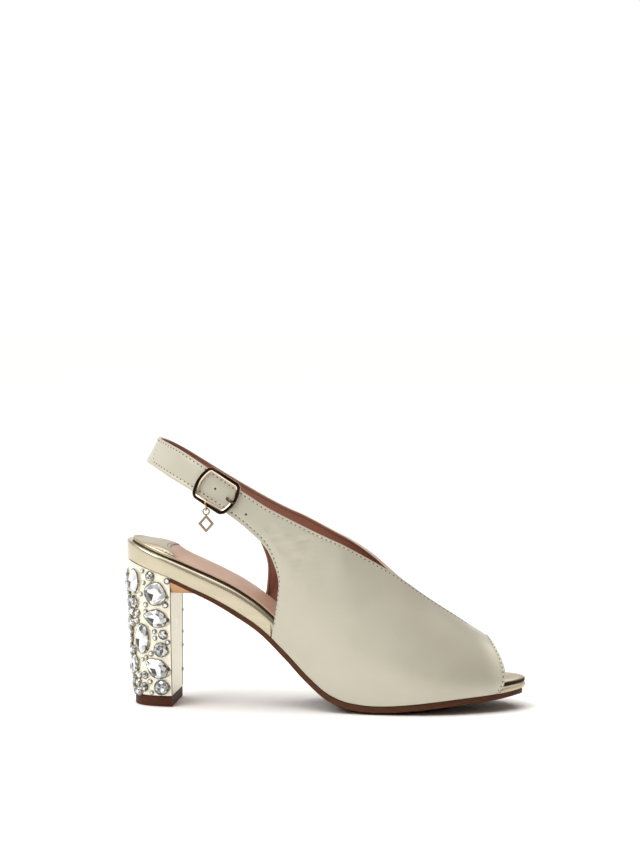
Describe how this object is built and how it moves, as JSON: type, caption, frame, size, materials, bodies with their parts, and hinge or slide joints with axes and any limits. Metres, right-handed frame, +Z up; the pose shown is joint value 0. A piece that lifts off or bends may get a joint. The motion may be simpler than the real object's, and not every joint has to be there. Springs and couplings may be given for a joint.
{
  "type": "heeled sandal",
  "caption": "Right slingback sandal with a peep toe, a deep V throat, a gold-edged footbed, a buckled strap with a hanging charm and a jewelled block heel.",
  "frame": {"origin": "middle of the heel's walking face, on the floor", "axes": "+X towards the toe, +Y towards the inner side of the foot, +Z up"},
  "size_m": [0.219, 0.0772, 0.1455],
  "materials": {
    "sole_leather": "smooth brown sole leather",
    "gold_leather": "pale gold foil leather, glossy",
    "sock_leather": "nude leather, matt",
    "upper_leather": "pearly cream leather, soft sheen",
    "heel_cover": "pale gold mirror wrap",
    "top_piece_rubber": "dark brown, satin",
    "buckle_metal": "polished pale gold plate",
    "cut_glass": "clear foiled glass, faceted"
  },
  "bodies": {
    "shoe": {"outsole": "sole_leather", "footbed": "gold_leather", "insole": "sock_leather", "upper": "upper_leather", "heel": "heel_cover", "heel_top_piece": "top_piece_rubber", "buckle_frame": "buckle_metal", "buckle_prong": "buckle_metal", "stone_01": "cut_glass", "stone_02": "cut_glass", "stone_03": "cut_glass", "stone_04": "cut_glass", "stone_05": "cut_glass", "stone_06": "cut_glass", "stone_07": "cut_glass", "stone_08": "cut_glass", "stone_09": "cut_glass", "stone_10": "cut_glass", "stone_11": "cut_glass", "stone_12": "cut_glass", "stone_13": "cut_glass", "stone_14": "cut_glass", "stone_15": "cut_glass", "stone_16": "cut_glass", "stone_17": "cut_glass", "stone_18": "cut_glass", "stone_19": "cut_glass", "stone_20": "cut_glass", "stone_21": "cut_glass", "stone_22": "cut_glass", "stone_23": "cut_glass", "stone_24": "cut_glass", "stone_25": "cut_glass", "stone_26": "cut_glass", "stone_27": "cut_glass", "stone_28": "cut_glass", "stone_29": "cut_glass", "stone_30": "cut_glass", "stone_31": "cut_glass"},
    "charm_link": {"charm_link": "buckle_metal"},
    "charm": {"charm": "buckle_metal"}
  },
  "joints": [
    {"name": "charm_link_swing", "type": "hinge", "parent": "shoe", "child": "charm_link", "pos_m": [0.0325, -0.03344, 0.11236], "axis": [-1, 0, 0], "range_deg": [-25, 80]},
    {"name": "charm_swing", "type": "hinge", "parent": "charm_link", "child": "charm", "pos_m": [0.0325, -0.03344, 0.10866], "axis": [0, -1, 0], "range_deg": [-40, 30]}
  ]
}
